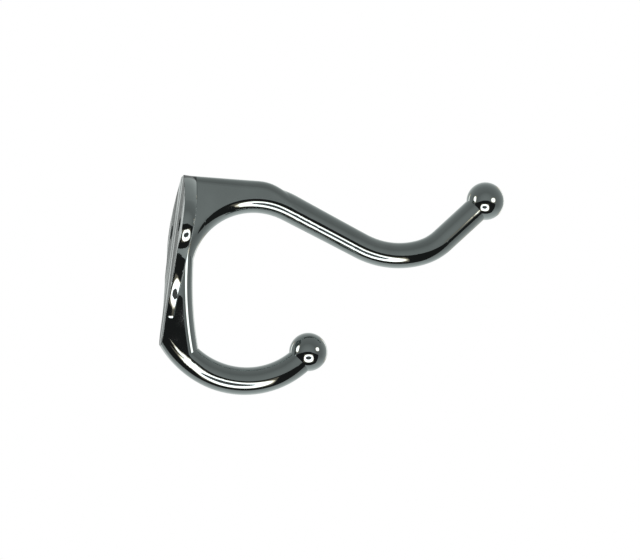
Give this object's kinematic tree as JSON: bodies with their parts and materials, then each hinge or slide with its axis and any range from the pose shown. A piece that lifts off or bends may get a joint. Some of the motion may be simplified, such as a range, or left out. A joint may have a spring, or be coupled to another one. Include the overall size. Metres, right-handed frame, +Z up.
{
  "type": "double robe hook",
  "caption": "Cast wall hook with a shield-shaped back plate, a long upper arm and a curled lower arm, both ending in balls, for hanging robes and towels.",
  "frame": {"origin": "on the wall face of the back plate, midway between the two screw holes", "axes": "+X straight out from the wall, +Z up, the hook is symmetric about the plane Y = 0"},
  "size_m": [0.1035, 0.0358, 0.0787],
  "materials": {
    "chrome_plate": "polished, dark bright plating"
  },
  "bodies": {
    "root": {"robe_hook": "chrome_plate"}
  },
  "joints": []
}
